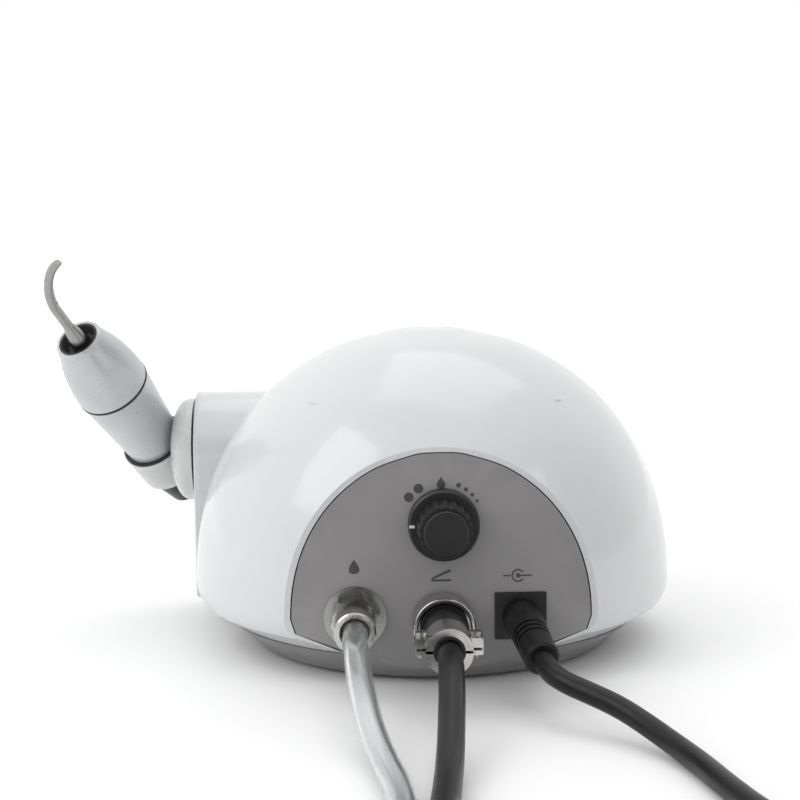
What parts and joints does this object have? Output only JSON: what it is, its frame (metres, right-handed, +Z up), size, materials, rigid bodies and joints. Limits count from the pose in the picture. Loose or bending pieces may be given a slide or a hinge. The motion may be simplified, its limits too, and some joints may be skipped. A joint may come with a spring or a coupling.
{
  "type": "ultrasonic scaler",
  "caption": "Small domed ultrasonic dental scaler unit with a swivelling side holder, handpiece, rear water knob, hose inlet, foot pedal cable and power lead.",
  "frame": {"origin": "on the resting plane, under the axis of the dome", "axes": "+Z up, -Y out of the rear connection panel, +Y to the control fascia, -X to the side holder"},
  "size_m": [0.1868, 0.4362, 0.1104],
  "materials": {
    "white_gloss": "glossy",
    "panel_grey": "satin",
    "dark_rubber": "matte",
    "steel": "brushed",
    "circuit_green": "satin",
    "aluminium": "satin",
    "black_plastic": "satin",
    "brass": "nickel-plated satin",
    "clear_tube": "clear glossy",
    "satin_white": "satin",
    "chrome": "polished",
    "ceramic_white": "matte",
    "cable_black": "satin",
    "fascia_blue": "glossy",
    "window_black": "glossy",
    "light_lens": "glossy",
    "key_grey": "satin",
    "pedal_grey": "satin"
  },
  "bodies": {
    "unit": {"cable_clamp": "chrome", "capacitors": "black_plastic", "clamp_screws": "steel", "control_board": "circuit_green", "cord_inlet": "cable_black", "display_window": "window_black", "foot_cable_coil": "cable_black", "foot_cable_tube": "cable_black", "foot_plug": "black_plastic", "foot_ring": "dark_rubber", "foot_socket": "chrome", "friction_washers": "satin_white", "front_fascia": "fascia_blue", "heat_sink": "aluminium", "hose_coil": "clear_tube", "hose_coupler": "chrome", "hose_nut": "chrome", "hose_tube": "clear_tube", "housing_screws": "steel", "inlet_fitting": "brass", "inlet_nut": "chrome", "inlet_washer": "steel", "inner_tubes": "clear_tube", "keypad_mat": "dark_rubber", "lower_housing": "panel_grey", "main_board": "circuit_green", "pedal_base": "pedal_grey", "pedal_spring": "steel", "power_boot": "cable_black", "power_lead_coil": "cable_black", "power_lead_tube": "cable_black", "power_plug": "black_plastic", "power_socket": "black_plastic", "side_plate": "satin_white", "solenoid_valve": "brass", "status_lights": "light_lens", "upper_shell": "white_gloss", "valve_nut": "chrome", "wall_adaptor": "black_plastic", "water_valve": "brass"},
    "holder": {"holder_cup": "satin_white", "cup_liner": "dark_rubber", "pivot_bolt": "chrome"},
    "handpiece": {"rear_sleeve": "satin_white", "joint_ring": "chrome", "nose_cone": "satin_white", "nose_seal": "dark_rubber", "tail_connector": "black_plastic", "transducer_horn": "steel", "backing_mass": "steel", "piezo_rings": "ceramic_white", "support_rings": "ceramic_white", "scaler_tip": "steel"},
    "knob": {"water_knob": "black_plastic", "valve_spindle": "steel"},
    "foot_coupling": {"coupling_ring": "chrome"},
    "less_key": {"key_less": "key_grey"},
    "mode_key": {"key_mode": "key_grey"},
    "more_key": {"key_more": "key_grey"},
    "pedal": {"pedal_top": "black_plastic"}
  },
  "joints": [
    {"name": "water_knob_turn", "type": "hinge", "parent": "unit", "child": "knob", "pos_m": [0.0007, -0.0548, 0.0424], "axis": [0, -1, 0], "range_deg": [-210, 60]},
    {"name": "holder_swivel", "type": "hinge", "parent": "unit", "child": "holder", "pos_m": [-0.0695, 0.024, 0.0515], "axis": [1, 0, 0], "range_deg": [-45, 60]},
    {"name": "handpiece_lift", "type": "slide", "parent": "holder", "child": "handpiece", "axis": [-0.341, -0.634, 0.694], "range_m": [0, 0.06]},
    {"name": "coupling_turn", "type": "hinge", "parent": "unit", "child": "foot_coupling", "pos_m": [0.0004, -0.0548, 0.0167], "axis": [0, -1, 0], "range_deg": [0, 360]},
    {"name": "less_key_press", "type": "slide", "parent": "unit", "child": "less_key", "axis": [0, -0.766, -0.6428], "range_m": [0, 0.0006], "stiffness_N_per_m": 3000},
    {"name": "mode_key_press", "type": "slide", "parent": "unit", "child": "mode_key", "axis": [0, -0.766, -0.6428], "range_m": [0, 0.0006], "stiffness_N_per_m": 3000},
    {"name": "more_key_press", "type": "slide", "parent": "unit", "child": "more_key", "axis": [0, -0.766, -0.6428], "range_m": [0, 0.0006], "stiffness_N_per_m": 3000},
    {"name": "pedal_press", "type": "hinge", "parent": "unit", "child": "pedal", "pos_m": [-0.04, -0.308, 0.0294], "axis": [1, 0, 0], "range_deg": [0, 5], "stiffness_Nm_per_rad": 1, "springref_deg": -5.73, "deforming": ["pedal_spring"]}
  ]
}
